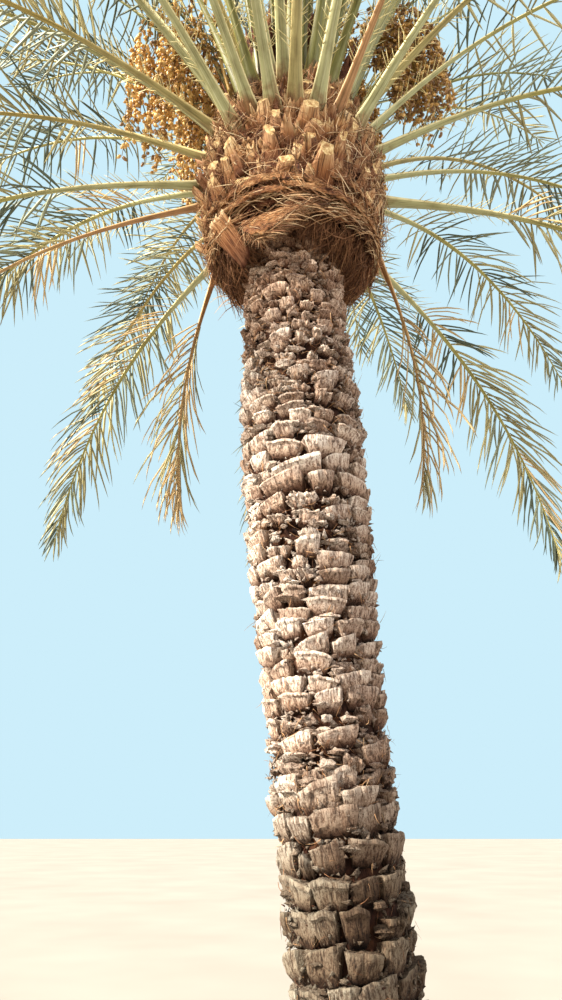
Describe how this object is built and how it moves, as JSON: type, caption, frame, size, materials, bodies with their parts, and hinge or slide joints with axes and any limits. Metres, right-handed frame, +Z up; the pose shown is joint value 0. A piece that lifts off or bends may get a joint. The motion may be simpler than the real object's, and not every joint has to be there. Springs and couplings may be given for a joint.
{
  "type": "date palm tree",
  "caption": "Mature date palm: stout leaning trunk clad in old leaf bases, fibrous boot of cut stubs, feather fronds and hanging date bunches.",
  "frame": {"origin": "centre of the trunk's flat cut at the ground", "axes": "+Z up along the tree, +X to the right in the picture, +Y away from the picture's camera"},
  "size_m": [7.2577, 7.1388, 8.2523],
  "materials": {
    "bark": "weathered cut leaf bases, fibrous and matt",
    "leaf_base_fibre": "matted reddish-brown fibre with cut leaf bases, matt",
    "frond": "waxy leaf, satin",
    "fruit": "ripening fruit skin, satin"
  },
  "bodies": {
    "root": {"trunk": "bark", "crown_boot": "leaf_base_fibre", "spear_leaf": "frond", "date_bunch_1": "fruit", "date_bunch_2": "fruit", "date_bunch_3": "fruit", "date_bunch_4": "fruit", "date_bunch_5": "fruit", "frond_arching_1": "frond", "frond_arching_2": "frond", "frond_arching_3": "frond", "frond_arching_4": "frond", "frond_arching_5": "frond", "frond_arching_6": "frond", "frond_arching_7": "frond", "frond_arching_8": "frond", "frond_arching_9": "frond", "frond_front_1": "frond", "frond_front_2": "frond", "frond_front_3": "frond", "frond_front_4": "frond", "frond_front_5": "frond", "frond_front_6": "frond", "frond_front_7": "frond", "frond_hanging_1_inner": "frond", "frond_hanging_1_outer": "frond", "frond_hanging_2_inner": "frond", "frond_hanging_2_outer": "frond", "frond_hanging_3_inner": "frond", "frond_hanging_3_outer": "frond", "frond_hanging_4_inner": "frond", "frond_hanging_4_outer": "frond", "frond_hanging_5_inner": "frond", "frond_hanging_5_outer": "frond", "frond_hanging_6_inner": "frond", "frond_hanging_6_outer": "frond", "frond_heart_1": "frond", "frond_heart_2": "frond", "frond_heart_3": "frond", "frond_heart_4": "frond", "frond_heart_5": "frond", "frond_rising_1": "frond", "frond_rising_2": "frond", "frond_rising_3": "frond", "frond_rising_4": "frond", "frond_rising_5": "frond", "frond_rising_6": "frond", "frond_rising_7": "frond", "frond_rising_8": "frond", "frond_spreading_1": "frond", "frond_spreading_2": "frond", "frond_spreading_3": "frond", "frond_spreading_4": "frond", "frond_spreading_5": "frond", "frond_spreading_6": "frond", "frond_spreading_7": "frond", "frond_spreading_8": "frond", "frond_spreading_9": "frond", "frond_withered_1": "frond", "frond_withered_2": "frond"}
  },
  "joints": []
}
